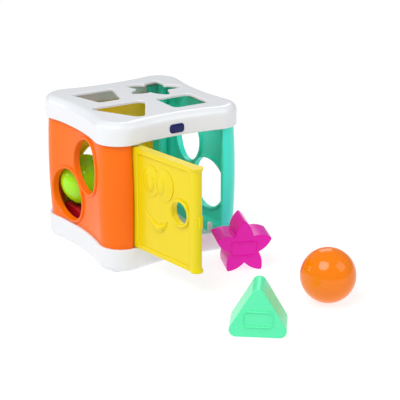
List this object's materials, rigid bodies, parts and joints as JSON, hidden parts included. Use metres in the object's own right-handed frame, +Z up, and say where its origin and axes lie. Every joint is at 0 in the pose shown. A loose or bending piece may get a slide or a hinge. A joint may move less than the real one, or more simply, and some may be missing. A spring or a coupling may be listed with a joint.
{
  "type": "shape sorter",
  "caption": "Toy play cube with a shape-sorting lid, round ball holes in its sides and back, a hinged smiling door, loose sorting blocks and balls.",
  "frame": {"origin": "middle of the cube's flat underside", "axes": "+Z up, +X to the right seen from the door side, +Y from the door side to the back"},
  "size_m": [0.1636, 0.3411, 0.1457],
  "materials": {
    "white": "glossy moulded",
    "navy": "glossy moulded",
    "steel": "plain zinc",
    "orange": "glossy moulded",
    "turquoise": "glossy moulded",
    "yellow": "glossy moulded",
    "magenta": "glossy moulded",
    "mint": "glossy moulded",
    "red": "glossy moulded",
    "violet": "glossy moulded",
    "ball_orange": "glossy moulded",
    "ball_lime": "glossy moulded"
  },
  "bodies": {
    "cube": {"lid": "white", "badge": "navy", "base": "white", "base_screws": "steel", "left_panel": "orange", "right_panel": "turquoise", "back_panel": "yellow"},
    "door": {"door": "yellow"},
    "star": {"star_block": "magenta", "star_block_cap": "magenta"},
    "triangle": {"triangle_block": "mint", "triangle_block_cap": "mint"},
    "trapezoid": {"trapezoid_block": "red", "trapezoid_block_cap": "red"},
    "square": {"square_block": "violet", "square_block_cap": "violet"},
    "orange_ball": {"orange_ball_upper": "ball_orange", "orange_ball_lower": "ball_orange"},
    "green_ball": {"green_ball_upper": "ball_lime", "green_ball_lower": "ball_lime"}
  },
  "joints": [
    {"name": "door_hinge", "type": "hinge", "parent": "cube", "child": "door", "pos_m": [-0.0442, -0.067, 0.0735], "axis": [0, 0, -1], "range_deg": [-81, 12]},
    {"name": "star_slide", "type": "slide", "parent": "cube", "child": "star", "axis": [0.9317, -0.3633, 0], "range_m": [-0.01, 0.05]},
    {"name": "triangle_lift", "type": "slide", "parent": "cube", "child": "triangle", "axis": [0, 0, 1], "range_m": [0, 0.1]},
    {"name": "orange_ball_lift", "type": "slide", "parent": "cube", "child": "orange_ball", "axis": [0, 0, 1], "range_m": [0, 0.1]},
    {"name": "green_ball_lift", "type": "slide", "parent": "cube", "child": "green_ball", "axis": [0.6, 0, 0.8], "range_m": [0, 0.05]},
    {"name": "trapezoid_slide", "type": "slide", "parent": "cube", "child": "trapezoid", "axis": [1, 0, 0], "range_m": [0, 0.035]},
    {"name": "square_lift", "type": "slide", "parent": "cube", "child": "square", "axis": [0, 0, 1], "range_m": [0, 0.1]}
  ],
  "couplings": [
    {"joint": "star_slide", "follows": "door_hinge", "m_per_rad": -0.03}
  ]
}
